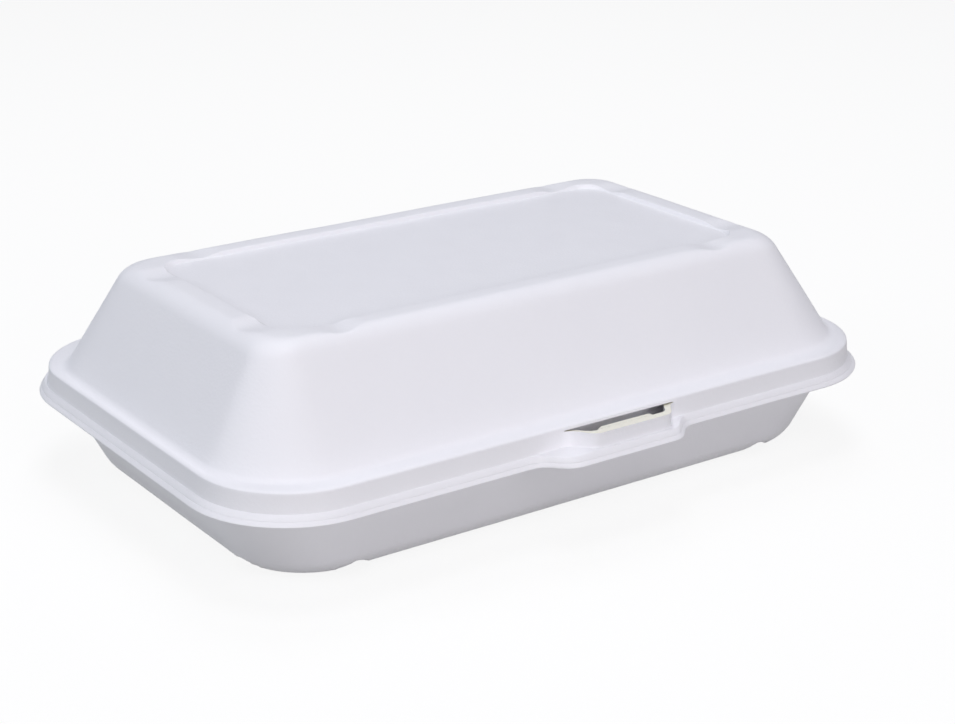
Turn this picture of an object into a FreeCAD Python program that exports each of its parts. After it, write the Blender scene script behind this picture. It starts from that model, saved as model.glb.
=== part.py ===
import FreeCAD, Part
import math
import os

# A foam clamshell container: a tray and a domed lid pressed from one sheet of foam.
# All sizes are in millimetres. +X runs along the fold line, -Y is the front, +Z is up.

# Overall outline of the lip, which the lid and the tray share
lip_length = 240.0
lip_depth = 160.0
lip_corner_radius = 33.0
lip_bevel = 2.2

# Thickness of the sheet: the walls, and the lips where it is pressed flatter
wall = 2.2
lip_sheet = 1.5

# Heights above the table
lip_underside_height = 25.2
shelf_height = 34.6
closed_height = 67.0

# Tray
tray_mouth_inset_side = 6.6
tray_mouth_inset_front = 9.9
tray_mouth_corner_radius = 28.0
tray_taper_side = 12.4
tray_taper_front = 8.0
tray_foot_corner_radius = 24.0
tray_foot_rounding = 9.0

# Upstanding rim of the tray, inside the lid
rim_clearance = 0.5
rim_draft = 0.3

# Foot ring under the tray and top rim of the lid, both notched near the corners
foot_ring_width = 7.0
foot_recess_depth = 1.2
foot_recess_corner_radius = 12.0
top_rim_width = 4.4
top_recess_depth = 1.3
top_recess_corner_radius = 8.0
recess_draft = 0.8
notch_width = 14.0
foot_notch_depth = 1.4
foot_notch_bridge = 1.5
top_notch_depth = 0.8
notch_from_corner_along_x = 25.0
notch_from_corner_along_y = 20.0

# Lid
riser_foot_inset = 3.1
riser_draft = 0.5
riser_corner_tightening = 2.5
dome_foot_inset_side = 6.8
dome_foot_inset_front = 10.2
dome_foot_inset_back = 12.0
dome_foot_corner_radius = 27.0
dome_taper_side = 19.0
dome_taper_front = 21.4
dome_taper_back = 20.4
dome_top_corner_radius = 9.5
dome_top_rounding = 9.0
dome_foot_rounding = 2.5
shelf_edge_rounding = 1.6
riser_foot_rounding = 0.8

# Latch at the middle of the front
latch_middle_x = 6.5
latch_flat_length = 24.0
latch_ramp_length = 9.0
latch_bulge = 6.8
latch_lean = 0.6
latch_wall = 2.8
latch_height_below_shelf = 1.6
lip_bump_middle_x = 2.5
lip_bump_out = 7.0
lip_bump_flat_length = 34.0
lip_bump_ramp_length = 13.0
tab_clearance = 0.7
tab_sheet = 1.8
tab_end_clearance = 1.5
tab_height_clearance = 0.4

# Fold line at the back
fold_web = 0.5
fold_press_width = 3.0

# Values that follow
half_length = lip_length / 2
half_depth = lip_depth / 2
fold_height = lip_underside_height + lip_sheet
lip_top_height = fold_height + lip_sheet
riser_corner_radius = lip_corner_radius - riser_corner_tightening
shelf_underside_height = shelf_height - wall
latch_top_height = shelf_height - latch_height_below_shelf
rim_top_height = shelf_underside_height - rim_clearance
front_edge_y = -half_depth
back_edge_y = half_depth


def point(x, y, z):
    return FreeCAD.Vector(x, y, z)


# A closed outline with four rounded corners, given by its four sides
def outline(left, right, front, back, radius, z):
    c = radius * (1 - math.sqrt(0.5))
    p = [
        point(left + radius, front, z),
        point(right - radius, front, z),
        point(right - c, front + c, z),
        point(right, front + radius, z),
        point(right, back - radius, z),
        point(right - c, back - c, z),
        point(right - radius, back, z),
        point(left + radius, back, z),
        point(left + c, back - c, z),
        point(left, back - radius, z),
        point(left, front + radius, z),
        point(left + c, front + c, z),
    ]
    edges = []
    for k in range(0, 12, 3):
        edges.append(Part.makeLine(p[k], p[k + 1]))
        edges.append(Part.Arc(p[k + 1], p[k + 2], p[(k + 3) % 12]).toShape())
    return Part.Wire(edges)


# A solid between two outlines, each given as sides, corner radius and height
def tapered_solid(lower, upper):
    return Part.makeLoft([outline(*lower), outline(*upper)], True, True)


# The same sides moved inwards by one distance, with the corners kept concentric
def moved_in(sides, distance, height):
    left, right, front, back, radius, z = sides
    return (
        left + distance,
        right - distance,
        front + distance,
        back - distance,
        max(radius - distance, 0.5),
        height,
    )


# The sides at another height, on the straight walls between two levels
def sides_at(lower, upper, z):
    share = (z - lower[5]) / (upper[5] - lower[5])
    result = []
    for k in range(5):
        result.append(lower[k] + (upper[k] - lower[k]) * share)
    result.append(z)
    return tuple(result)


# The inner wall of a tapered shell: the sides come in by the sheet's level thickness
def inner_wall(lower, upper, sheet, z_low, z_high):
    height = upper[5] - lower[5]
    result = []
    for z in (z_low, z_high):
        outer = sides_at(lower, upper, z)
        sides = []
        for k in range(4):
            slope = (upper[k] - lower[k]) / height
            level = sheet * math.sqrt(1 + slope * slope)
            sides.append(outer[k] + level * (1 if k in (0, 2) else -1))
        sides.append(max(outer[4] - sheet, 1.0))
        sides.append(z)
        result.append(tuple(sides))
    return result


# Edges all round a solid at one height, for rounding them
def edges_at_height(solid, z):
    found = []
    for edge in solid.Edges:
        box = edge.BoundBox
        if abs(box.ZMin - z) < 0.001 and abs(box.ZMax - z) < 0.001:
            found.append(edge)
    return found


# The edges at one height that lie within given half sizes of the middle
def ring_edges(solid, z, sides, margin):
    found = []
    for edge in edges_at_height(solid, z):
        box = edge.BoundBox
        if box.XMin < sides[0] - margin or box.XMax > sides[1] + margin:
            continue
        if box.YMin < sides[2] - margin or box.YMax > sides[3] + margin:
            continue
        found.append(edge)
    return found


# Plan outline of an outward bulge at the front, with soft ramps at both ends
def bulge_outline(middle_x, flat_length, ramp_length, line_y, out, depth_inside, z):
    x1 = middle_x - flat_length / 2 - ramp_length
    x2 = middle_x - flat_length / 2
    x3 = middle_x + flat_length / 2
    x4 = middle_x + flat_length / 2 + ramp_length
    far = line_y - out
    first = Part.BezierCurve()
    first.setPoles([
        point(x1, line_y, z),
        point((x1 + x2) / 2, line_y, z),
        point((x1 + x2) / 2, far, z),
        point(x2, far, z),
    ])
    second = Part.BezierCurve()
    second.setPoles([
        point(x3, far, z),
        point((x3 + x4) / 2, far, z),
        point((x3 + x4) / 2, line_y, z),
        point(x4, line_y, z),
    ])
    return Part.Wire([
        Part.makeLine(point(x1, line_y + depth_inside, z), point(x1, line_y, z)),
        first.toShape(),
        Part.makeLine(point(x2, far, z), point(x3, far, z)),
        second.toShape(),
        Part.makeLine(point(x4, line_y, z), point(x4, line_y + depth_inside, z)),
        Part.makeLine(point(x4, line_y + depth_inside, z), point(x1, line_y + depth_inside, z)),
    ])


def bulge_solid(lower, upper):
    return Part.makeLoft([bulge_outline(*lower), bulge_outline(*upper)], True, True)


# Outline of the lip at one height
def lip_sides(z):
    return (-half_length, half_length, front_edge_y, back_edge_y, lip_corner_radius, z)


# Outline of the lip with its edge bevelled upwards, all round but at the fold line
def bevelled_lip_sides(z):
    inset = lip_bevel * (z - lip_underside_height) / (2 * lip_sheet)
    left, right, front, back, radius, height = lip_sides(z)
    return (left + inset, right - inset, front + inset, back, radius - inset / 2, height)


# One lip, flat between two heights, with the outward bump at the latch
def lip_plate(z_low, z_high):
    lower = bevelled_lip_sides(z_low)
    upper = bevelled_lip_sides(z_high)
    plate = tapered_solid(lower, upper)
    shape = (lip_bump_middle_x, lip_bump_flat_length, lip_bump_ramp_length)
    inside = dome_foot_inset_front / 2
    bump = bulge_solid(
        shape + (lower[2], lip_bump_out, inside, z_low),
        shape + (upper[2], lip_bump_out, inside, z_high),
    )
    return plate.fuse(bump)


# The wedge pressed out of a lip along the fold line, so that only a thin web is left
def fold_wedge(web_z, outer_z):
    x = half_length - lip_corner_radius
    beyond = 1.0
    slope = (outer_z - web_z) / fold_press_width
    corners = [
        point(-x, back_edge_y - fold_press_width, outer_z),
        point(-x, back_edge_y + beyond, web_z - slope * beyond),
        point(-x, back_edge_y + beyond, outer_z + slope * beyond),
    ]
    face = Part.Face(Part.makePolygon(corners + [corners[0]]))
    return face.extrude(point(2 * x, 0, 0))


# Grooves across a raised border, one near each end of each side
def notches(sides, z, outward, reach, depth):
    left, right, front, back = sides[0], sides[1], sides[2], sides[3]
    radius = (notch_width * notch_width / 4 + depth * depth) / (2 * depth)
    centre_z = z + outward * (radius - depth)
    middle_y = (front + back) / 2
    middle_x = (left + right) / 2
    x = (right - left) / 2 - notch_from_corner_along_x
    y = (back - front) / 2 - notch_from_corner_along_y
    tools = []
    for side in (-1, 1):
        for end_y, way in ((front, 1), (back, -1)):
            start = point(middle_x + side * x, end_y - way * reach, centre_z)
            tools.append(Part.makeCylinder(radius, 2 * reach, start, point(0, way, 0)))
        for end_x, way in ((left, 1), (right, -1)):
            start = point(end_x - way * reach, middle_y + side * y, centre_z)
            tools.append(Part.makeCylinder(radius, 2 * reach, start, point(way, 0, 0)))
    return tools


# Sides of the tray at its mouth and at its foot, before rounding
def tray_mouth():
    return (
        -half_length + tray_mouth_inset_side,
        half_length - tray_mouth_inset_side,
        front_edge_y + tray_mouth_inset_front,
        back_edge_y - tray_mouth_inset_front,
        tray_mouth_corner_radius,
        lip_underside_height,
    )


def tray_foot():
    mouth = tray_mouth()
    return (
        mouth[0] + tray_taper_side,
        mouth[1] - tray_taper_side,
        mouth[2] + tray_taper_front,
        mouth[3] - tray_taper_front,
        tray_foot_corner_radius,
        0.0,
    )


# How far a rounding reaches along the level face beside a tapered wall
def rounding_reach(radius, taper, height):
    turn = math.pi / 2 - math.atan(taper / height)
    return radius * math.tan(turn / 2)


# The recessed panel inside the foot ring or inside the top rim
def recess_sides(sides, border_x, border_y, radius, z):
    return (
        sides[0] + border_x,
        sides[1] - border_x,
        sides[2] + border_y,
        sides[3] - border_y,
        radius,
        z,
    )


def make_base():
    mouth = tray_mouth()
    foot = tray_foot()
    body = tapered_solid(foot, mouth)
    body = body.makeFillet(tray_foot_rounding, edges_at_height(body, 0.0))

    rim_low = mouth[:5] + (lip_underside_height,)
    rim_high = moved_in(mouth, rim_draft, rim_top_height)
    body = body.fuse(tapered_solid(rim_low, rim_high))
    body = body.fuse(lip_plate(lip_underside_height, fold_height))

    # Hollow of the tray: the inside of the wall, then the inside of the rim
    inner_foot, inner_mouth = inner_wall(foot, mouth, wall, wall, lip_underside_height)
    hollow = tapered_solid(inner_foot, inner_mouth)
    inner_rounding = tray_foot_rounding - wall
    hollow = hollow.makeFillet(inner_rounding, edges_at_height(hollow, wall))
    rim_inner = moved_in(rim_high, wall, rim_top_height + 1.0)
    hollow = hollow.fuse(tapered_solid(inner_mouth, rim_inner))

    # The bottom panel stands a little higher than the foot ring, inside and out
    tray_height = lip_underside_height
    border_x = rounding_reach(tray_foot_rounding, tray_taper_side, tray_height) + foot_ring_width
    border_y = rounding_reach(tray_foot_rounding, tray_taper_front, tray_height) + foot_ring_width
    low = recess_sides(foot, border_x, border_y, foot_recess_corner_radius, 0.0)
    panel_low = moved_in(low, -recess_draft, -recess_draft)
    panel_high = moved_in(low, recess_draft, foot_recess_depth)
    panel_top = moved_in(low, recess_draft, wall + foot_recess_depth)
    inner_low = moved_in(low, -wall / 2, wall - 0.5)
    body = body.cut(tapered_solid(panel_low, panel_high))
    hollow = hollow.cut(tapered_solid(inner_low, panel_top))
    body = body.cut(hollow)

    notch_reach = border_x - recess_draft - foot_notch_bridge
    for tool in notches(foot, 0.0, -1, notch_reach, foot_notch_depth):
        body = body.cut(tool)
    body = body.fuse(make_tab())
    body = body.cut(fold_wedge(fold_height - fold_web, lip_underside_height))
    return body.removeSplitter()


# Upright locking tab of the tray, inside the lid's latch
def make_tab():
    riser_y = front_edge_y + riser_foot_inset
    outer = riser_y - latch_bulge + latch_wall + tab_clearance
    length = latch_flat_length - 2 * tab_end_clearance
    height = latch_top_height - tab_height_clearance - fold_height + lip_sheet / 2
    corner = point(latch_middle_x - length / 2, outer, fold_height - lip_sheet / 2)
    tab = Part.makeBox(length, tab_sheet, height, corner)
    upright = []
    for edge in tab.Edges:
        if edge.BoundBox.YLength > tab_sheet / 2 and edge.BoundBox.ZMax > fold_height:
            upright.append(edge)
    return tab.makeFillet(height / 3, [e for e in upright if e.BoundBox.ZMin > fold_height])


# Sides of the lid's riser and dome, before rounding
def riser_foot():
    sides = lip_sides(fold_height)
    moved = moved_in(sides, riser_foot_inset, fold_height)
    return moved[:4] + (riser_corner_radius, fold_height)


def riser_top():
    return moved_in(riser_foot(), riser_draft, shelf_height)


def dome_foot():
    return (
        -half_length + dome_foot_inset_side,
        half_length - dome_foot_inset_side,
        front_edge_y + dome_foot_inset_front,
        back_edge_y - dome_foot_inset_back,
        dome_foot_corner_radius,
        shelf_height,
    )


def dome_top():
    foot = dome_foot()
    return (
        foot[0] + dome_taper_side,
        foot[1] - dome_taper_side,
        foot[2] + dome_taper_front,
        foot[3] - dome_taper_back,
        dome_top_corner_radius,
        closed_height,
    )


def dome_solid(lower, upper, rounding):
    dome = tapered_solid(lower, upper)
    return dome.makeFillet(rounding, edges_at_height(dome, upper[5]))


def make_lid():
    dome = dome_solid(dome_foot(), dome_top(), dome_top_rounding)
    riser = tapered_solid(riser_foot(), riser_top())
    riser = riser.makeFillet(shelf_edge_rounding, edges_at_height(riser, shelf_height))
    body = riser.fuse(dome).removeSplitter()
    foot_edges = ring_edges(body, shelf_height, dome_foot(), 0.1)
    body = body.makeFillet(dome_foot_rounding, foot_edges)
    body = body.fuse(lip_plate(fold_height, lip_top_height)).removeSplitter()
    body = body.makeFillet(riser_foot_rounding, ring_edges(body, lip_top_height, riser_foot(), 0.1))

    # Outward bulge of the latch below its slot
    riser_y = riser_foot()[2]
    shape = (latch_middle_x, latch_flat_length, latch_ramp_length, riser_y)
    inside = dome_foot_inset_front / 2
    bulge_low = shape + (latch_bulge - latch_lean, inside, fold_height)
    bulge_high = shape + (latch_bulge, inside, latch_top_height)
    body = body.fuse(bulge_solid(bulge_low, bulge_high))

    # Hollow under the lid: the inside of the riser and of the dome
    height = closed_height - shelf_height
    inner_foot, inner_top = inner_wall(
        dome_foot(), dome_top(), wall, shelf_underside_height, closed_height - wall
    )
    inner_dome = dome_solid(inner_foot, inner_top, dome_top_rounding - wall)
    riser_low = moved_in(riser_foot(), wall, fold_height - 1.0)
    riser_high = moved_in(riser_top(), wall, shelf_underside_height)
    hollow = tapered_solid(riser_low, riser_high).fuse(inner_dome).removeSplitter()
    inner_edges = ring_edges(hollow, shelf_underside_height, inner_foot, 0.1)
    free_width = min(riser_high[1] - inner_foot[1], inner_foot[2] - riser_high[2])
    widest = 0.9 * free_width / rounding_reach(1.0, dome_taper_side, height)
    hollow = hollow.makeFillet(min(dome_foot_rounding + wall, widest), inner_edges)

    # The top panel lies a little lower than the top rim, outside and in
    top = dome_top()
    border_x = rounding_reach(dome_top_rounding, dome_taper_side, height) + top_rim_width
    border_y = rounding_reach(dome_top_rounding, dome_taper_front, height) + top_rim_width
    high = recess_sides(top, border_x, border_y, top_recess_corner_radius, closed_height)
    panel_low = moved_in(high, recess_draft, closed_height - top_recess_depth)
    panel_high = moved_in(high, -recess_draft, closed_height + recess_draft)
    inner_low = moved_in(high, recess_draft, closed_height - wall - top_recess_depth)
    inner_high = moved_in(high, -wall / 2, closed_height - wall + 0.5)
    body = body.cut(tapered_solid(panel_low, panel_high))
    hollow = hollow.cut(tapered_solid(inner_low, inner_high))
    body = body.cut(hollow)
    for tool in notches(top, closed_height, 1, border_x, top_notch_depth):
        body = body.cut(tool)

    # Hollow of the latch, open at its top as the slot
    inner_y = riser_y + wall + 0.5
    ends = latch_ramp_length - latch_wall / 2
    flat = latch_flat_length
    gap_low = (latch_middle_x, flat, ends, inner_y)
    out_low = latch_bulge - latch_lean - latch_wall + wall + 0.5
    out_high = latch_bulge - latch_wall + wall + 0.5
    pocket = bulge_solid(
        gap_low + (out_low, 1.0, fold_height - 1.0),
        gap_low + (out_high, 1.0, latch_top_height),
    )
    body = body.cut(pocket)
    body = body.cut(fold_wedge(fold_height + fold_web, lip_top_height))
    return body.removeSplitter()


os.makedirs("parts", exist_ok=True)
nodes = {
    "base": make_base(),
    "lid": make_lid(),
}
for name, shape in nodes.items():
    shape.exportStep("parts/" + name + ".step")
    print(name, shape.ShapeType, len(shape.Solids), shape.isValid(), round(shape.Volume / 1000, 2))
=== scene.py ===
import bmesh
import bpy
import math
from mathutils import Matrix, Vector, noise


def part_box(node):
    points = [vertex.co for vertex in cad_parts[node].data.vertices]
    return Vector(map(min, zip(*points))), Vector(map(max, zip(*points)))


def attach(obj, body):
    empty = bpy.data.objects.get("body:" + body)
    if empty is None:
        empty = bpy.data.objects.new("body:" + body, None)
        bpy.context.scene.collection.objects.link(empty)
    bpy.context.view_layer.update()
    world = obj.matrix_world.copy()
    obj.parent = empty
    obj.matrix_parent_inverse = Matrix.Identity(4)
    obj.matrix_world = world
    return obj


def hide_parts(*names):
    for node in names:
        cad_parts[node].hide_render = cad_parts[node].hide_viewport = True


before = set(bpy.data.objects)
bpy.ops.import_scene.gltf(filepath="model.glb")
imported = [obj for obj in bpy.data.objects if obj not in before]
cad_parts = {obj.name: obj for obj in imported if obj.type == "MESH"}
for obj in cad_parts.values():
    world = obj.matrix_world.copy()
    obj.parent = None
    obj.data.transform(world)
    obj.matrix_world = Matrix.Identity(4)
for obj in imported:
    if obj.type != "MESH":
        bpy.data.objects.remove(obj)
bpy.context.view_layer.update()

# A white foam clamshell container, closed. The two shells are built here in millimetres
# from the same sizes as the solids that they replace, and are scaled to metres at the end.
MM = 0.001

# Sizes read from the frame, in millimetres
base_low, base_high = [[c / MM for c in corner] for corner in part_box("base")]
lid_low, lid_high = [[c / MM for c in corner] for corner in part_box("lid")]
HALF_LENGTH = base_high[0]
HALF_DEPTH = lid_high[1]
CLOSED_HEIGHT = lid_high[2]
FOLD_HEIGHT = lid_low[2]
BASE_FRONT = -base_low[1]

# Sheet
WALL = 2.2
LIP_SHEET = 1.5
LIP_RADIUS = 33.0
LIP_BEVEL = 2.9
LIP_EDGE_ROUNDING = 0.6
LIP_UNDERSIDE_ROUNDING = 0.4
SEAM_GAP = 0.02
SEAM_ROUNDING = 0.06

# Tray
MOUTH_INSET_SIDE = 6.6
MOUTH_INSET_FRONT = 9.9
MOUTH_RADIUS = 28.0
TRAY_TAPER_SIDE = 12.4
TRAY_TAPER_FRONT = 8.0
FOOT_RADIUS = 24.0
FOOT_ROUNDING = 9.0
FOOT_RING_WIDTH = 7.0
FOOT_RECESS = 1.2
FOOT_RECESS_RADIUS = 12.0
RIM_DRAFT = 0.3
RIM_CLEARANCE = 0.5
RIM_ROUNDING = 0.6
MOUTH_ROUNDING = 1.6
MOUTH_EDGE_ROUNDING = 0.8
MOUTH_INNER_ROUNDING = 3.0
FLOOR_SETBACK = 0.6

# Lid
RISER_INSET = 3.1
RISER_DRAFT = 0.5
RISER_RADIUS = 30.5
SHELF_HEIGHT = 34.6
DOME_INSET_SIDE = 6.8
DOME_INSET_FRONT = 10.2
DOME_INSET_BACK = 12.0
DOME_FOOT_RADIUS = 27.0
DOME_TAPER_SIDE = 19.0
DOME_TAPER_FRONT = 21.4
DOME_TAPER_BACK = 20.4
DOME_TOP_RADIUS = 9.5
DOME_TOP_ROUNDING = 9.0
DOME_FOOT_ROUNDING = 2.5
DOME_FOOT_INNER_ROUNDING = 3.4
SHELF_EDGE_ROUNDING = 1.6
RISER_FOOT_ROUNDING = 0.8
RISER_INNER_ROUNDING = 0.4
TOP_RIM_WIDTH = 4.4
TOP_RECESS = 1.3
TOP_RECESS_RADIUS = 8.0
RECESS_DRAFT = 0.8
RECESS_ROUNDING = 0.7
TOP_RECESS_FLARE = 0.2

# Notches across the foot ring and the top rim
NOTCH_WIDTH = 17.0
FOOT_NOTCH_DEPTH = 3.4
TOP_NOTCH_DEPTH = 0.9
NOTCH_SHEET = 1.1
NOTCH_FROM_CORNER_X = 25.0
NOTCH_FROM_CORNER_Y = 20.0
FOOT_NOTCH_FADE = 4.0

# Share of the half size past which a place counts as lying on that side's border
BORDER_SHARE = 0.72

# Latch
LATCH_X = 6.5
LATCH_FLAT = 24.0
LATCH_RAMP = 9.0
LATCH_BULGE = 6.8
LATCH_LEAN = 0.6
LATCH_WALL = 2.8
LATCH_BELOW_SHELF = 1.6
LATCH_TOP = SHELF_HEIGHT - LATCH_BELOW_SHELF
STRAP_INNER_LEAN = 0.2
SLOT_HALF_LENGTH = 20.9
LIP_BUMP_X = 2.5
LIP_BUMP_FLAT = 34.0
LIP_BUMP_RAMP = 13.0
TAB_CLEARANCE = 0.7
TAB_SHEET = 1.8
TAB_END_CLEARANCE = 1.5
TAB_HEIGHT_CLEARANCE = 0.4
TAB_EDGE_ROUNDING = 0.35
TAB_LENGTH = LATCH_FLAT - 2 * TAB_END_CLEARANCE
TAB_TOP = LATCH_TOP - TAB_HEIGHT_CLEARANCE

# Height of the thin bands of faces that are left out where the slot opens
SLOT_BAND = 0.02

# Fold line at the back
FOLD_WEB = 0.5
FOLD_PRESS = 3.0
FOLD_FADE = 4.0

# Unevenness of pressed foam: broad swells and finer ripples, shifted inwards. It is left out
# within CALM of the seam and the table, and grows to its full height over FADE beyond that.
SWELL_LENGTH = 46.0
SWELL_HEIGHT = 0.2
RIPPLE_LENGTH = 13.0
RIPPLE_HEIGHT = 0.04
INWARD_SHIFT = 0.7
SEAM_CALM = 2.0
SEAM_FADE = 6.0
TABLE_CALM = 0.1
TABLE_FADE = 4.0
LID_SEED = 3.0
TRAY_SEED = 8.0

# Mesh: steps round a plan corner, spacing along the walls, closer at the notches and the
# latch, and the share of a stretch that a rounding beside it may take
CORNER_STEPS = 16
STEP_X = 3.0
STEP_Y = 2.2
NOTCH_STEP_X = 0.9
NOTCH_STEP_Y = 0.8
NOTCH_REACH_Y = 5.0
LID_NOTCH_REACH = 7.0
TRAY_NOTCH_REACH = 8.0
LATCH_REACH = 33.0
LID_LATCH_STEP = 0.7
TRAY_LATCH_STEP = 1.2
MOST_SHARE = 0.49
MERGE_DISTANCE = 0.002
SMOOTH_ANGLE = math.radians(38)
FOAM_SLOT = 0
CUT_SLOT = 1

# Values that follow
LIP_TOP = FOLD_HEIGHT + LIP_SHEET
LIP_UNDERSIDE = FOLD_HEIGHT - LIP_SHEET
LIP_BUMP_OUT = BASE_FRONT - HALF_DEPTH
SHELF_UNDERSIDE = SHELF_HEIGHT - WALL
RIM_TOP = SHELF_UNDERSIDE - RIM_CLEARANCE


# Mesh building: a shell is a stack of rings, and each ring is a rounded rectangle.
# A corner of the section holds its reach to the side, front and back, its height,
# the plan radius there, its own rounding and how many steps that takes. run is the number
# of parts of the stretch that follows. push is what change() uses at the front: first the
# latch's push in the lid and the inner side's share in the tray, then the lip bump's share.
def corner(side, front, back, height, radius, rounding=0.0, steps=0, run=1, push=(0.0, 0.0), mark=""):
    return {
        "reach": (side, front, back),
        "height": height,
        "radius": radius,
        "rounding": rounding,
        "steps": steps,
        "run": run,
        "push": push,
        "mark": mark,
    }


# Every corner with a rounding is rounded, but for the first and the last of the section
def is_rounded(corners, j):
    return corners[j]["rounding"] > 0 and 0 < j < len(corners) - 1


def mix(a, b, t):
    return a + (b - a) * t


# One point of a round corner of a section, as a circular arc from start to end
def arc_point(start, middle, end, weight, t):
    a = (1 - t) ** 2
    b = 2 * weight * t * (1 - t)
    c = t * t
    total = a + b + c
    return tuple((a * p + b * q + c * r) / total for p, q, r in zip(start, middle, end))


# The points of a section along one wall: reach, height and centre of the plan corner
def section(corners, which):
    path = []
    for c in corners:
        reach = c["reach"][which]
        path.append((reach, c["height"], reach - c["radius"]))
    points = []
    for j, c in enumerate(corners):
        here = path[j]
        if is_rounded(corners, j):
            before = Vector(path[j - 1][:2]) - Vector(here[:2])
            after = Vector(path[j + 1][:2]) - Vector(here[:2])
            turn = math.pi - before.angle(after)
            length = c["rounding"] * math.tan(turn / 2)
            share_before = min(length / before.length, MOST_SHARE)
            share_after = min(length / after.length, MOST_SHARE)
            start = tuple(mix(p, q, share_before) for p, q in zip(here, path[j - 1]))
            end = tuple(mix(p, q, share_after) for p, q in zip(here, path[j + 1]))
            weight = math.cos(turn / 2)
            piece = [arc_point(start, here, end, weight, s / c["steps"]) for s in range(c["steps"] + 1)]
        else:
            piece = [here]
        if points:
            last = points[-1]
            run = corners[j - 1]["run"]
            for s in range(1, run):
                points.append(tuple(mix(p, q, s / run) for p, q in zip(last, piece[0])))
        points.extend(piece)
    return points


# The push of the latch and the marks, listed once for each station of the section
def station_facts(corners):
    facts = []
    for j, c in enumerate(corners):
        count = c["steps"] + 1 if is_rounded(corners, j) else 1
        if facts:
            before = corners[j - 1]
            for s in range(1, before["run"]):
                t = s / before["run"]
                push = tuple(mix(p, q, t) for p, q in zip(before["push"], c["push"]))
                facts.append({"push": push, "mark": ""})
        for s in range(count):
            facts.append({"push": c["push"], "mark": c["mark"]})
    return facts


# Places along a straight stretch, from -1 to 1, closer together where detail needs it
def places(length, step, fine):
    result = [-1.0]
    while result[-1] < 1.0:
        here = result[-1] * length
        spacing = step
        for middle, reach, small in fine:
            if abs(here - middle) < reach:
                spacing = min(spacing, small)
        result.append(result[-1] + spacing / length)
    scale = 2.0 / (result[-1] + 1.0)
    return [(p + 1.0) * scale - 1.0 for p in result]


# How far an outward bulge stands out at x: flat in the middle, soft ramps at both ends
def bulge(x, middle, flat, ramp):
    distance = abs(x - middle) - flat / 2
    if distance <= 0:
        return 1.0
    if distance >= ramp:
        return 0.0
    goal = 1.0 - distance / ramp
    low, high = 0.0, 1.0
    for _ in range(24):
        t = (low + high) / 2
        if 1.5 * t * (1 - t) + t ** 3 < goal:
            low = t
        else:
            high = t
    return 3 * t * t - 2 * t ** 3


# Unevenness of the foam at a place, in millimetres
def unevenness(x, y, z, seed):
    swell = noise.noise(Vector((x / SWELL_LENGTH, y / SWELL_LENGTH, z / SWELL_LENGTH + seed)))
    ripple = noise.noise(Vector((x / RIPPLE_LENGTH + seed, y / RIPPLE_LENGTH, z / RIPPLE_LENGTH)))
    share = min(1.0, max(0.0, abs(z - FOLD_HEIGHT) - SEAM_CALM) / SEAM_FADE)
    share *= min(1.0, max(0.0, z - TABLE_CALM) / TABLE_FADE)
    return share * (SWELL_HEIGHT * (swell - INWARD_SHIFT) + RIPPLE_HEIGHT * (ripple - INWARD_SHIFT))


# Reach of the lip at one height: its edge is bevelled upwards, all round but at the fold line
def lip_reach(z):
    inset = LIP_BEVEL * (z - LIP_UNDERSIDE) / (2 * LIP_SHEET)
    return (HALF_LENGTH - inset, HALF_DEPTH - inset, HALF_DEPTH)


# All points of a ring, each with the stretch of wall that it lies on
def ring(sections, k, along_x, along_y):
    side, front, back = (s[k] for s in sections)
    points = []

    def add(x, y, z, stretch):
        points.append([x, y, z, stretch])

    def round_corner(from_angle, sign_x, sign_y, wall_y):
        for s in range(1, CORNER_STEPS):
            a = from_angle + s / CORNER_STEPS * math.pi / 2
            across = abs(math.cos(a))
            deep = abs(math.sin(a))
            x = side[2] + (side[0] - side[2]) * across
            y = wall_y[2] + (wall_y[0] - wall_y[2]) * deep
            z = side[1] * across ** 2 + wall_y[1] * deep ** 2
            add(sign_x * x, sign_y * y, z, "corner")

    for p in along_x:
        add(p * side[2], -front[0], front[1], "front")
    round_corner(-math.pi / 2, 1, -1, front)
    for p in along_y:
        middle = (p + 1) / 2
        add(side[0], mix(-front[2], back[2], middle), side[1], "side")
    round_corner(0.0, 1, 1, back)
    for p in reversed(along_x):
        add(p * side[2], back[0], back[1], "back")
    round_corner(math.pi / 2, -1, 1, back)
    for p in reversed(along_y):
        middle = (p + 1) / 2
        add(-side[0], mix(-front[2], back[2], middle), side[1], "side")
    round_corner(math.pi, -1, -1, front)
    return points


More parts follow.
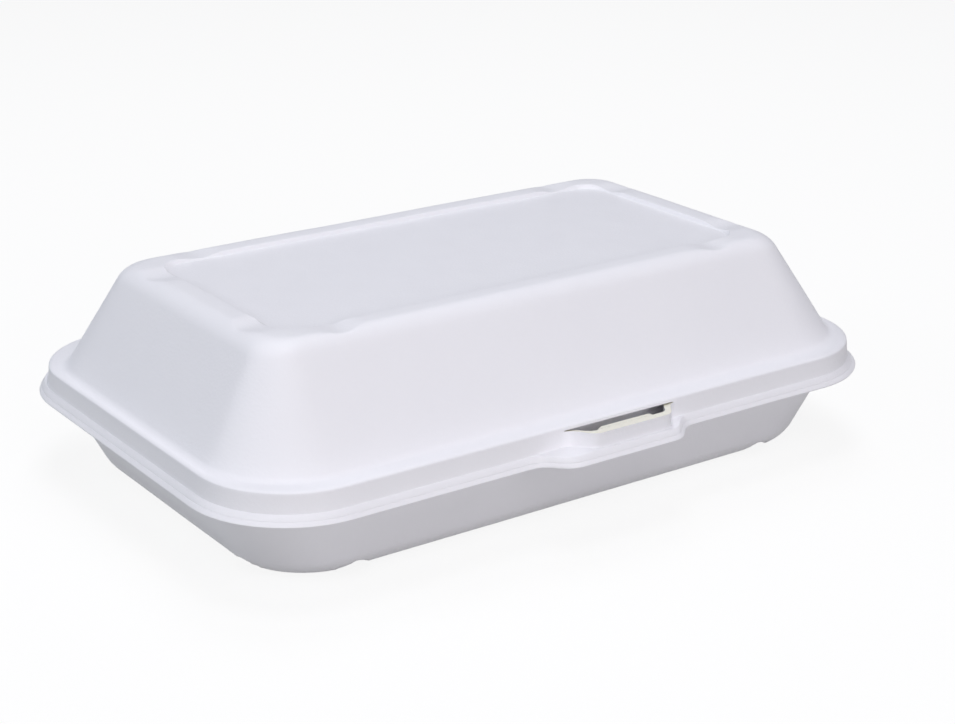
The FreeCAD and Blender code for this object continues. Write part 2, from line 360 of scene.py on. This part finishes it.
# The shell's mesh. change(point, facts) moves a point in place, for notches and the latch.
# slot_stations names the outer and the inner station where the latch's slot is cut through.
def shell(name, corners, along_x, along_y, change, slot_stations=()):
    sections = [section(corners, which) for which in range(3)]
    facts = station_facts(corners)
    rings = []
    for k in range(len(facts)):
        points = ring(sections, k, along_x, along_y)
        for p in points:
            change(p, facts[k])
        rings.append(points)
    count = len(rings[0])
    marks = {f["mark"]: k for k, f in enumerate(facts) if f["mark"]}
    open_above = [marks[m] for m in slot_stations]

    def index(k, i):
        return k * count + i % count

    def over_slot(point):
        return point[3] == "front" and abs(point[0] - LATCH_X) <= SLOT_HALF_LENGTH

    slot_columns = []
    if open_above:
        row = rings[open_above[0]]
        for i in range(count):
            if over_slot(row[i]) and over_slot(row[(i + 1) % count]):
                slot_columns.append(i)
    faces = []
    for k in range(len(rings) - 1):
        for i in range(count):
            if k in open_above and i in slot_columns:
                continue
            faces.append((index(k, i), index(k, i + 1), index(k + 1, i + 1), index(k + 1, i)))
    sheet_faces = len(faces)

    # The slot's own walls, which join the outer side of the sheet to the inner side
    if open_above:
        outer, inner = open_above
        for i in slot_columns:
            faces.append((
                index(outer, i + 1), index(outer, i),
                index(inner + 1, i), index(inner + 1, i + 1),
            ))
            faces.append((
                index(outer + 1, i), index(outer + 1, i + 1),
                index(inner, i + 1), index(inner, i),
            ))
        left = slot_columns[0]
        right = slot_columns[-1] + 1
        faces.append((
            index(outer, left), index(outer + 1, left),
            index(inner, left), index(inner + 1, left),
        ))
        faces.append((
            index(outer + 1, right), index(outer, right),
            index(inner + 1, right), index(inner, right),
        ))

    mesh = bpy.data.meshes.new(name)
    vertices = [(x * MM, y * MM, z * MM) for points in rings for x, y, z, stretch in points]
    mesh.from_pydata(vertices, [], faces)
    for n, face in enumerate(mesh.polygons):
        face.material_index = FOAM_SLOT if n < sheet_faces else CUT_SLOT
    piece = bpy.data.objects.new(name, mesh)
    bpy.context.scene.collection.objects.link(piece)
    return piece


# Merges the middle lines, turns all faces outwards, and smooths all but the sharp edges
def finish_mesh(piece, seed):
    work = bmesh.new()
    work.from_mesh(piece.data)
    bmesh.ops.remove_doubles(work, verts=work.verts, dist=MERGE_DISTANCE * MM)
    bmesh.ops.dissolve_degenerate(work, edges=work.edges, dist=MERGE_DISTANCE * MM)
    bmesh.ops.recalc_face_normals(work, faces=work.faces)
    work.normal_update()
    moves = []
    for v in work.verts:
        x, y, z = (c / MM for c in v.co)
        moves.append(v.normal * unevenness(x, y, z, seed) * MM)
    for v, move in zip(work.verts, moves):
        v.co += move
    work.to_mesh(piece.data)
    work.free()
    mesh = piece.data
    for face in mesh.polygons:
        face.use_smooth = True
    mesh.set_sharp_from_angle(angle=SMOOTH_ANGLE)


# How far a rounding reaches along the level face beside a tapered wall
def rounding_reach(radius, taper, height):
    return radius * math.tan((math.pi / 2 - math.atan(taper / height)) / 2)


# Depth of the notches at a place of the raised border
def notch_depth_at(x, y, half_x, front, back, deepest):
    depth = 0.0
    middle_y = (back - front) / 2
    half_y = (front + back) / 2
    for across, along, reach in (
        (abs(x), half_x - NOTCH_FROM_CORNER_X, abs(y - middle_y) > half_y * BORDER_SHARE),
        (abs(y - middle_y), half_y - NOTCH_FROM_CORNER_Y, abs(x) > half_x * BORDER_SHARE),
    ):
        distance = abs(across - along) / (NOTCH_WIDTH / 2)
        if reach and distance < 1:
            depth = max(depth, deepest * (0.5 + 0.5 * math.cos(math.pi * distance)))
    return depth


# How much of the fold line's press is left near its ends, where the lip's corners start
def fold_share(x):
    end = HALF_LENGTH - LIP_RADIUS
    return max(0.0, min(1.0, (end - abs(x)) / FOLD_FADE))


# A reach to the side, front and back, moved inwards by one distance
def shifted(reach, distance):
    return tuple(r - distance for r in reach)


# The sheet's thickness measured level, through a wall of each taper
def level_sheet(taper, height):
    return [WALL * math.sqrt(1 + (t / height) ** 2) for t in taper]


# Where the points of a shell's rings lie along its straight walls. The half sizes and the
# radius are those of the raised border that carries the notches.
def wall_places(half_x, half_y, radius, notch_reach, latch_step):
    straight_x = HALF_LENGTH - LIP_RADIUS
    notch_x = (half_x - NOTCH_FROM_CORNER_X) * (straight_x / (half_x - radius))
    notch_y = half_y - NOTCH_FROM_CORNER_Y
    along_x = places(straight_x, STEP_X, [
        (-notch_x, notch_reach, NOTCH_STEP_X),
        (notch_x, notch_reach, NOTCH_STEP_X),
        (LATCH_X, LATCH_REACH, latch_step),
    ])
    along_y = places(half_y - radius, STEP_Y, [
        (-notch_y, NOTCH_REACH_Y, NOTCH_STEP_Y),
        (notch_y, NOTCH_REACH_Y, NOTCH_STEP_Y),
    ])
    return along_x, along_y


def build_lid():
    height = CLOSED_HEIGHT - SHELF_HEIGHT
    foot = (HALF_LENGTH - DOME_INSET_SIDE, HALF_DEPTH - DOME_INSET_FRONT, HALF_DEPTH - DOME_INSET_BACK)
    taper = (DOME_TAPER_SIDE, DOME_TAPER_FRONT, DOME_TAPER_BACK)
    top = tuple(f - t for f, t in zip(foot, taper))
    border_x = rounding_reach(DOME_TOP_ROUNDING, DOME_TAPER_SIDE, height) + TOP_RIM_WIDTH
    border_y = rounding_reach(DOME_TOP_ROUNDING, DOME_TAPER_FRONT, height) + TOP_RIM_WIDTH
    recess = (top[0] - border_x, top[1] - border_y, top[2] - border_y)

    def riser_at(z):
        inset = RISER_INSET + RISER_DRAFT * (z - FOLD_HEIGHT) / (SHELF_HEIGHT - FOLD_HEIGHT)
        return shifted((HALF_LENGTH, HALF_DEPTH, HALF_DEPTH), inset)

    # The inner wall lies inside the outer one by the sheet's level thickness
    def inner_dome_at(z):
        share = (z - SHELF_HEIGHT) / height
        level = level_sheet(taper, height)
        return tuple(f - t * share - l for f, t, l in zip(foot, taper, level))

    middle = recess[0] - recess[1]
    inner_push = LATCH_BULGE - LATCH_WALL + WALL
    panel_low = shifted(recess, RECESS_DRAFT)
    inner_foot = inner_dome_at(SHELF_UNDERSIDE)
    inner_top = inner_dome_at(CLOSED_HEIGHT - WALL)
    ceiling = CLOSED_HEIGHT - WALL - TOP_RECESS
    strap_foot = LATCH_BULGE - LATCH_LEAN
    corners = [
        corner(middle, 0.0, 0.0, CLOSED_HEIGHT - TOP_RECESS, 0.0, run=9),
        corner(*panel_low, CLOSED_HEIGHT - TOP_RECESS, TOP_RECESS_RADIUS - RECESS_DRAFT, RECESS_ROUNDING, 4),
        corner(*shifted(recess, -TOP_RECESS_FLARE), CLOSED_HEIGHT, TOP_RECESS_RADIUS, RECESS_ROUNDING, 4,
               run=3),
        corner(*top, CLOSED_HEIGHT, DOME_TOP_RADIUS, DOME_TOP_ROUNDING, 12, run=12),
        corner(*foot, SHELF_HEIGHT, DOME_FOOT_RADIUS, DOME_FOOT_ROUNDING, 6, run=2),
        corner(*riser_at(SHELF_HEIGHT), SHELF_HEIGHT, RISER_RADIUS - RISER_DRAFT, SHELF_EDGE_ROUNDING, 6),
        corner(*riser_at(LATCH_TOP), LATCH_TOP + SLOT_BAND, RISER_RADIUS - RISER_DRAFT, mark="above slot"),
        corner(*riser_at(LATCH_TOP), LATCH_TOP, RISER_RADIUS - RISER_DRAFT, run=5, push=(LATCH_BULGE, 0.0)),
        corner(*riser_at(LIP_TOP), LIP_TOP, RISER_RADIUS, RISER_FOOT_ROUNDING, 4, run=3,
               push=(strap_foot, 0.0)),
        corner(*lip_reach(LIP_TOP), LIP_TOP, LIP_RADIUS - LIP_BEVEL / 2, LIP_EDGE_ROUNDING, 4,
               push=(0.0, 1.0)),
        corner(*lip_reach(FOLD_HEIGHT), FOLD_HEIGHT + SEAM_GAP, LIP_RADIUS - LIP_BEVEL / 4,
               SEAM_ROUNDING, 2, run=2, push=(0.0, 1.0)),
        corner(*shifted(riser_at(FOLD_HEIGHT), WALL), FOLD_HEIGHT + SEAM_GAP, RISER_RADIUS - WALL,
               RISER_INNER_ROUNDING, 2, run=4, push=(-inner_push + LATCH_LEAN, 0.0)),
        corner(*shifted(riser_at(SHELF_HEIGHT), WALL), SHELF_UNDERSIDE - SLOT_BAND, RISER_RADIUS - WALL,
               push=(-inner_push - STRAP_INNER_LEAN, 0.0), mark="strap inside"),
        corner(*shifted(riser_at(SHELF_HEIGHT), WALL), SHELF_UNDERSIDE, RISER_RADIUS - WALL, run=2),
        corner(*inner_foot, SHELF_UNDERSIDE, DOME_FOOT_RADIUS - WALL, DOME_FOOT_INNER_ROUNDING, 5,
               run=10),
        corner(*inner_top, CLOSED_HEIGHT - WALL, DOME_TOP_RADIUS - WALL, DOME_TOP_ROUNDING - WALL, 8, run=2),
        corner(*recess, CLOSED_HEIGHT - WALL, TOP_RECESS_RADIUS, RECESS_ROUNDING, 3),
        corner(*panel_low, ceiling, TOP_RECESS_RADIUS - RECESS_DRAFT, RECESS_ROUNDING, 3, run=6),
        corner(middle, 0.0, 0.0, ceiling, 0.0),
    ]

    def change(p, facts):
        x, y, z, stretch = p
        push, lip_push = facts["push"]
        if stretch == "front":
            if push > 0:
                p[1] -= push * bulge(x, LATCH_X, LATCH_FLAT, LATCH_RAMP)
            if push < 0:
                share = bulge(x, LATCH_X, LATCH_FLAT, LATCH_RAMP - LATCH_WALL / 2)
                p[1] += push * share
                if facts["mark"] == "strap inside":
                    p[2] = mix(z, LATCH_TOP, share)
            p[1] -= lip_push * LIP_BUMP_OUT * bulge(x, LIP_BUMP_X, LIP_BUMP_FLAT, LIP_BUMP_RAMP)
        if z > CLOSED_HEIGHT - 2 * TOP_NOTCH_DEPTH:
            p[2] = min(z, CLOSED_HEIGHT - notch_depth_at(x, y, *top, TOP_NOTCH_DEPTH))
        if stretch == "back" and y > HALF_DEPTH - FOLD_PRESS and z > FOLD_HEIGHT + FOLD_WEB:
            pressed = FOLD_HEIGHT + FOLD_WEB + (LIP_SHEET - FOLD_WEB) * (HALF_DEPTH - y) / FOLD_PRESS
            p[2] = mix(z, min(z, pressed), fold_share(x))

    along_x, along_y = wall_places(
        top[0], (top[1] + top[2]) / 2, DOME_TOP_RADIUS, LID_NOTCH_REACH, LID_LATCH_STEP)
    piece = shell("foam_lid", corners, along_x, along_y, change, ("above slot", "strap inside"))
    finish_mesh(piece, LID_SEED)
    return piece


def build_base():
    mouth_y = HALF_DEPTH - MOUTH_INSET_FRONT
    mouth = (HALF_LENGTH - MOUTH_INSET_SIDE, mouth_y, mouth_y)
    taper = (TRAY_TAPER_SIDE, TRAY_TAPER_FRONT, TRAY_TAPER_FRONT)
    foot = tuple(m - t for m, t in zip(mouth, taper))
    border_x = rounding_reach(FOOT_ROUNDING, TRAY_TAPER_SIDE, LIP_UNDERSIDE) + FOOT_RING_WIDTH
    border_y = rounding_reach(FOOT_ROUNDING, TRAY_TAPER_FRONT, LIP_UNDERSIDE) + FOOT_RING_WIDTH
    recess = (foot[0] - border_x, foot[1] - border_y, foot[2] - border_y)
    level = level_sheet(taper, LIP_UNDERSIDE)

    def inner_at(z):
        share = 1 - z / LIP_UNDERSIDE
        return tuple(m - t * share - l for m, t, l in zip(mouth, taper, level))

    middle = recess[0] - recess[1]
    rim = shifted(mouth, RIM_DRAFT)
    floor_height = WALL + FOOT_RECESS
    corners = [
        corner(middle, 0.0, 0.0, FOOT_RECESS, 0.0, run=8),
        corner(*shifted(recess, RECESS_DRAFT), FOOT_RECESS, FOOT_RECESS_RADIUS, RECESS_ROUNDING, 4),
        corner(*shifted(recess, -RECESS_DRAFT), 0.0, FOOT_RECESS_RADIUS, RECESS_ROUNDING, 4, run=3),
        corner(*foot, 0.0, FOOT_RADIUS, FOOT_ROUNDING, 12, run=10),
        corner(*mouth, LIP_UNDERSIDE, MOUTH_RADIUS, MOUTH_ROUNDING, 5, run=3),
        corner(*lip_reach(LIP_UNDERSIDE), LIP_UNDERSIDE, LIP_RADIUS, LIP_UNDERSIDE_ROUNDING, 3,
               push=(0.0, 1.0)),
        corner(*lip_reach(FOLD_HEIGHT), FOLD_HEIGHT, LIP_RADIUS - LIP_BEVEL / 4, SEAM_ROUNDING, 2,
               run=3, push=(0.0, 1.0)),
        corner(*mouth, FOLD_HEIGHT, MOUTH_RADIUS, MOUTH_EDGE_ROUNDING, 3, run=3),
        corner(*rim, RIM_TOP, MOUTH_RADIUS, RIM_ROUNDING, 3),
        corner(*shifted(rim, WALL), RIM_TOP, MOUTH_RADIUS - WALL, RIM_ROUNDING, 3, run=3),
        corner(*inner_at(LIP_UNDERSIDE), LIP_UNDERSIDE, MOUTH_RADIUS - WALL, MOUTH_INNER_ROUNDING, 3,
               run=10, push=(1.0, 0.0)),
        corner(*inner_at(WALL), WALL, FOOT_RADIUS - WALL, FOOT_ROUNDING - WALL, 8, run=4, push=(1.0, 0.0)),
        corner(*shifted(recess, WALL / 2), WALL, FOOT_RECESS_RADIUS, RECESS_ROUNDING, 3, push=(1.0, 0.0)),
        corner(*shifted(recess, WALL / 2 + FLOOR_SETBACK), floor_height, FOOT_RECESS_RADIUS,
               RECESS_ROUNDING, 3, run=6),
        corner(middle, 0.0, 0.0, floor_height, 0.0),
    ]

    def change(p, facts):
        x, y, z, stretch = p
        if stretch == "front":
            p[1] -= facts["push"][1] * LIP_BUMP_OUT * bulge(x, LIP_BUMP_X, LIP_BUMP_FLAT, LIP_BUMP_RAMP)
        beyond_recess = max(abs(x) - recess[0], -recess[1] - y, y - recess[2])
        if beyond_recess > 0 and z < FOOT_NOTCH_DEPTH + WALL:
            depth = notch_depth_at(x, y, *foot, FOOT_NOTCH_DEPTH)
            fade = min(1.0, beyond_recess / FOOT_NOTCH_FADE)
            depth = min(depth, mix(FOOT_RECESS, FOOT_NOTCH_DEPTH, fade))
            inside_share = facts["push"][0]
            p[2] = max(z, depth + NOTCH_SHEET * inside_share * min(1.0, depth))
        if stretch == "back" and y > HALF_DEPTH - FOLD_PRESS and z < FOLD_HEIGHT - FOLD_WEB:
            pressed = FOLD_HEIGHT - FOLD_WEB - (LIP_SHEET - FOLD_WEB) * (HALF_DEPTH - y) / FOLD_PRESS
            p[2] = mix(z, max(z, pressed), fold_share(x))

    along_x, along_y = wall_places(foot[0], foot[1], FOOT_RADIUS, TRAY_NOTCH_REACH, TRAY_LATCH_STEP)
    piece = shell("foam_tray", corners, along_x, along_y, change)
    finish_mesh(piece, TRAY_SEED)
    return piece


TAB_CORNER_STEPS = 8
TAB_EDGE_STEPS = 3
TAB_EDGE_ANGLE = math.radians(50)


# The upright tab of the tray, behind the latch's strap: a soft-cornered slab
def build_tab():
    outer = HALF_DEPTH - RISER_INSET + LATCH_BULGE - LATCH_WALL - TAB_CLEARANCE
    low = FOLD_HEIGHT - LIP_SHEET / 2
    half = TAB_LENGTH / 2
    radius = (TAB_TOP - FOLD_HEIGHT) / 3
    edge = [(half, low)]
    for s in range(TAB_CORNER_STEPS + 1):
        a = s / TAB_CORNER_STEPS * math.pi / 2
        edge.append((half - radius + radius * math.cos(a), TAB_TOP - radius + radius * math.sin(a)))
    outline = edge + [(-x, z) for x, z in reversed(edge)]
    vertices = []
    for y in (-outer, -outer + TAB_SHEET):
        for x, z in outline:
            vertices.append(((x + LATCH_X) * MM, y * MM, z * MM))
    n = len(outline)
    faces = [tuple(range(n)), tuple(reversed(range(n, 2 * n)))]
    for i in range(n):
        j = (i + 1) % n
        faces.append((i, n + i, n + j, j))
    mesh = bpy.data.meshes.new("locking_tab")
    mesh.from_pydata(vertices, [], faces)
    piece = bpy.data.objects.new("locking_tab", mesh)
    bpy.context.scene.collection.objects.link(piece)
    soften = piece.modifiers.new("soft edges", "BEVEL")
    soften.width = TAB_EDGE_ROUNDING * MM
    soften.segments = TAB_EDGE_STEPS
    soften.limit_method = "ANGLE"
    soften.angle_limit = TAB_EDGE_ANGLE
    for face in mesh.polygons:
        face.use_smooth = len(face.vertices) == 4
    return piece


# Foam: texture scales per metre, depths of relief in metres, and strengths
CLOUD_SCALE = 28.0
CLOUD_DETAIL = 3.0
GLOSS_SCALE = 160.0
GLOSS_BELOW = 0.06
GLOSS_ABOVE = 0.08
CELL_SCALE = 1150.0
CELL_DEPTH = 0.00010
SKIN_SCALE = 2600.0
SKIN_DEPTH = 0.00004
SKIN_SHARE = 0.6
WAVE_SCALE = 90.0
WAVE_DEPTH = 0.0006
WAVE_STRENGTH = 0.25
FOAM_SPECULAR = 0.3


def add_noise(nodes, links, coordinates, scale, detail=2.0):
    texture = nodes.new("ShaderNodeTexNoise")
    texture.inputs["Scale"].default_value = scale
    texture.inputs["Detail"].default_value = detail
    links.new(coordinates, texture.inputs["Vector"])
    return texture.outputs["Fac"]


# A relief, laid over the one whose normal is given as below
def add_bump(nodes, links, height, strength, depth, below=None):
    bump = nodes.new("ShaderNodeBump")
    bump.inputs["Strength"].default_value = strength
    bump.inputs["Distance"].default_value = depth
    links.new(height, bump.inputs["Height"])
    if below is not None:
        links.new(below, bump.inputs["Normal"])
    return bump.outputs["Normal"]


def foam_material(name, light, dark, grain_strength, roughness):
    material = bpy.data.materials.new(name)
    material.use_nodes = True
    nodes = material.node_tree.nodes
    links = material.node_tree.links
    surface = nodes["Principled BSDF"]
    place = nodes.new("ShaderNodeTexCoord").outputs["Object"]

    # Colour: broad, faint clouds of slightly denser foam. Inputs 6 and 7 of the mix are its
    # two colours, and output 2 is the mixed one.
    clouds = add_noise(nodes, links, place, CLOUD_SCALE, CLOUD_DETAIL)
    colour = nodes.new("ShaderNodeMix")
    colour.data_type = "RGBA"
    colour.inputs[6].default_value = (*light, 1.0)
    colour.inputs[7].default_value = (*dark, 1.0)
    links.new(clouds, colour.inputs[0])
    links.new(colour.outputs[2], surface.inputs["Base Color"])

    # Gloss varies a little from place to place
    gloss = add_noise(nodes, links, place, GLOSS_SCALE)
    spread = nodes.new("ShaderNodeMapRange")
    spread.inputs["To Min"].default_value = roughness - GLOSS_BELOW
    spread.inputs["To Max"].default_value = roughness + GLOSS_ABOVE
    links.new(gloss, spread.inputs["Value"])
    links.new(spread.outputs["Result"], surface.inputs["Roughness"])

    # Relief: closed cells a little under a millimetre across, a finer skin, and broad waves
    cells = nodes.new("ShaderNodeTexVoronoi")
    cells.feature = "F1"
    cells.inputs["Scale"].default_value = CELL_SCALE
    links.new(place, cells.inputs["Vector"])
    skin = add_noise(nodes, links, place, SKIN_SCALE)
    waves = add_noise(nodes, links, place, WAVE_SCALE)
    normal = add_bump(nodes, links, cells.outputs["Distance"], grain_strength, CELL_DEPTH)
    normal = add_bump(nodes, links, skin, grain_strength * SKIN_SHARE, SKIN_DEPTH, normal)
    normal = add_bump(nodes, links, waves, WAVE_STRENGTH, WAVE_DEPTH, normal)
    links.new(normal, surface.inputs["Normal"])

    surface.inputs["Specular IOR Level"].default_value = FOAM_SPECULAR
    return material


# 1 on rays that come from the camera or from a mirror or a glass, 0 on light that bounces
def add_seen_share(nodes, links):
    path = nodes.new("ShaderNodeLightPath")
    share = path.outputs["Is Camera Ray"]
    for kind in ("Is Glossy Ray", "Is Transmission Ray"):
        larger = nodes.new("ShaderNodeMath")
        larger.operation = "MAXIMUM"
        links.new(share, larger.inputs[0])
        links.new(path.outputs[kind], larger.inputs[1])
        share = larger.outputs["Value"]
    return share


# Floor and backdrop: one pale sheet, seen as white with a soft shadow
FLOOR_GLOW = 0.88
FLOOR_SHADE = 0.13
FLOOR_BOUNCE = (0.35, 0.35, 0.34, 1.0)
FLOOR_HALF = 6.0
FLOOR_DROP = 0.0002


def floor_material():
    material = bpy.data.materials.new("pale_floor")
    material.use_nodes = True
    nodes = material.node_tree.nodes
    links = material.node_tree.links
    nodes.remove(nodes["Principled BSDF"])
    matt = nodes.new("ShaderNodeBsdfDiffuse")
    matt.inputs["Color"].default_value = FLOOR_BOUNCE
    glow = nodes.new("ShaderNodeEmission")
    glow.inputs["Color"].default_value = (1.0, 1.0, 1.0, 1.0)
    glow.inputs["Strength"].default_value = FLOOR_GLOW
    shade = nodes.new("ShaderNodeBsdfDiffuse")
    shade.inputs["Color"].default_value = (FLOOR_SHADE, FLOOR_SHADE, FLOOR_SHADE, 1.0)
    white = nodes.new("ShaderNodeAddShader")
    links.new(glow.outputs["Emission"], white.inputs[0])
    links.new(shade.outputs["BSDF"], white.inputs[1])
    blend = nodes.new("ShaderNodeMixShader")
    links.new(add_seen_share(nodes, links), blend.inputs["Fac"])
    links.new(matt.outputs["BSDF"], blend.inputs[1])
    links.new(white.outputs["Shader"], blend.inputs[2])
    links.new(blend.outputs["Shader"], nodes["Material Output"].inputs["Surface"])
    return material


def build_floor():
    half = FLOOR_HALF
    vertices = [(-half, -half, 0.0), (half, -half, 0.0), (half, half, 0.0), (-half, half, 0.0)]
    mesh = bpy.data.meshes.new("floor")
    mesh.from_pydata(vertices, [], [(0, 1, 2, 3)])
    floor = bpy.data.objects.new("floor", mesh)
    floor.location.z = -FLOOR_DROP
    bpy.context.scene.collection.objects.link(floor)
    mesh.materials.append(floor_material())


# Direction from the object's middle to a place, from its azimuth and elevation in radians
def direction(azimuth, elevation):
    return Vector((
        math.sin(azimuth) * math.cos(elevation),
        -math.cos(azimuth) * math.cos(elevation),
        math.sin(elevation),
    ))


# Each lamp: name, azimuth and elevation in degrees, power in watts, colour
LAMPS = (
    ("over", -35, 85, 4.8, (0.95, 0.95, 1.0)),
    ("behind", 145, 60, 3.7, (0.93, 0.95, 1.0)),
    ("left_rear", -115, 25, 3.3, (0.86, 0.92, 1.0)),
    ("front_low", -20, 5, 4.6, (1.0, 0.98, 1.0)),
    ("front_right", 10, 18, 2.2, (0.97, 0.94, 1.0)),
    ("left_low", -80, 8, 1.6, (0.95, 0.95, 1.0)),
    ("front_high", -15, 48, 2.2, (1.0, 0.98, 1.0)),
    ("right_fill", 85, 20, 0.4, (0.9, 0.92, 1.0)),
)
LAMP_SIZE = 0.5
LAMP_DISTANCE = 1.2
LAMP_MIDDLE = Vector((0.0, 0.0, 0.04))

# The room's dim light, and the white that only the camera sees behind the floor's edge
ROOM_COLOUR = (0.75, 0.8, 1.0, 1.0)
ROOM_STRENGTH = 0.04
BACKDROP_COLOUR = (0.985, 0.985, 0.985, 1.0)


# A square lamp that shines at the object's middle
def add_lamp(name, azimuth, elevation, power, colour):
    light = bpy.data.lights.new(name, "AREA")
    light.shape = "SQUARE"
    light.size = LAMP_SIZE
    light.energy = power
    light.color = colour
    lamp = bpy.data.objects.new(name, light)
    away = direction(math.radians(azimuth), math.radians(elevation))
    lamp.location = LAMP_MIDDLE + away * LAMP_DISTANCE
    lamp.rotation_euler = (-away).to_track_quat("-Z", "Y").to_euler()
    bpy.context.scene.collection.objects.link(lamp)


def build_light():
    world = bpy.data.worlds.new("soft_room")
    world.use_nodes = True
    nodes = world.node_tree.nodes
    links = world.node_tree.links
    room = nodes["Background"]
    room.inputs["Color"].default_value = ROOM_COLOUR
    room.inputs["Strength"].default_value = ROOM_STRENGTH
    white = nodes.new("ShaderNodeBackground")
    white.inputs["Color"].default_value = BACKDROP_COLOUR
    path = nodes.new("ShaderNodeLightPath")
    blend = nodes.new("ShaderNodeMixShader")
    links.new(path.outputs["Is Camera Ray"], blend.inputs["Fac"])
    links.new(room.outputs["Background"], blend.inputs[1])
    links.new(white.outputs["Background"], blend.inputs[2])
    links.new(blend.outputs["Shader"], nodes["World Output"].inputs["Surface"])
    bpy.context.scene.world = world
    for lamp in LAMPS:
        add_lamp(*lamp)


# Camera, placed where the photograph was taken from
CAMERA_AZIMUTH = math.radians(-35.04)
CAMERA_ELEVATION = math.radians(20.04)
CAMERA_DISTANCE = 0.6211
CAMERA_TARGET = Vector((-0.00435, -0.01892, 0.035))
FOCAL_PIXELS = 1990.7
IMAGE_WIDTH = 955
SENSOR_WIDTH = 36.0
NEAR_CLIP = 0.01


def build_camera():
    data = bpy.data.cameras.new("camera")
    data.sensor_width = SENSOR_WIDTH
    data.lens = FOCAL_PIXELS * SENSOR_WIDTH / IMAGE_WIDTH
    data.clip_start = NEAR_CLIP
    camera = bpy.data.objects.new("camera", data)
    back = direction(CAMERA_AZIMUTH, CAMERA_ELEVATION)
    camera.location = CAMERA_TARGET + back * CAMERA_DISTANCE
    camera.rotation_euler = back.to_track_quat("Z", "Y").to_euler()
    bpy.context.scene.collection.objects.link(camera)
    bpy.context.scene.camera = camera


# The foam's lighter and darker colour, strength of its grain, and roughness
foam = foam_material("white_foam", (0.925, 0.922, 0.95), (0.905, 0.902, 0.935), 0.35, 0.5)
# Cream of the cut foam edges. Given to the tab as well, where it is painted shade for the warm shade deep in
# the slot
cut_edge_and_slot_shade_foam = foam_material("cut_foam_edge_and_painted_slot_shade", (0.90, 0.88, 0.79), (0.84, 0.82, 0.71), 0.8, 0.7)
lid = build_lid()
tray = build_base()
tab = build_tab()
for piece in (lid, tray):
    piece.data.materials.append(foam)
    piece.data.materials.append(cut_edge_and_slot_shade_foam)
# The tab is white foam; its cream colour here is painted shade, standing for the warm shade inside the slot
tab.data.materials.append(cut_edge_and_slot_shade_foam)
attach(lid, "lid")
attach(tray, "base")
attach(tab, "base")
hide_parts("lid")
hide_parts("base")
build_floor()
build_light()
build_camera()
bpy.context.scene.view_settings.view_transform = "Standard"
